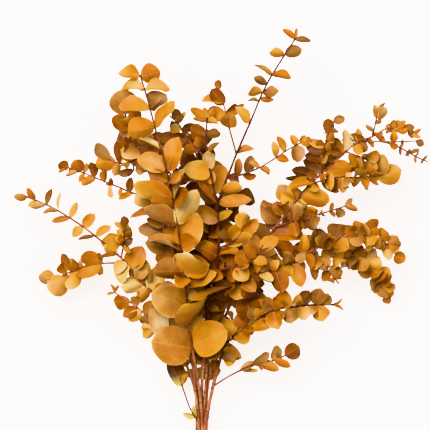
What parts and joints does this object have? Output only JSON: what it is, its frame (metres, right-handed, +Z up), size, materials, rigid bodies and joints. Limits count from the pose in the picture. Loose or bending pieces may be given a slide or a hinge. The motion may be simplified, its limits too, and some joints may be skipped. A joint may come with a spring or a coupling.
{
  "type": "bunch of dried eucalyptus",
  "caption": "Bunch of dried eucalyptus with round golden leaves in pairs on branching stems, held by a band, lying on its side.",
  "frame": {"origin": "middle of the underside of the whole bunch, on the surface that it lies on", "axes": "+Y up the bunch from the cut ends to the tips, +X to the right as seen from above, +Z up"},
  "size_m": [0.4986, 0.5846, 0.1556],
  "materials": {
    "leafy_stem": "matt golden brown dried leaves on red-brown stems",
    "elastic_band": "matt tan"
  },
  "bodies": {
    "root": {"left_tall_stem": "leafy_stem", "low_front_stem": "leafy_stem", "lower_right_stem": "leafy_stem", "upper_left_stem": "leafy_stem", "centre_stem": "leafy_stem", "right_tall_stem": "leafy_stem", "right_drooping_stem": "leafy_stem", "left_reach_stem": "leafy_stem", "back_stem": "leafy_stem", "upper_right_stem": "leafy_stem", "elastic_band": "elastic_band"}
  },
  "joints": []
}
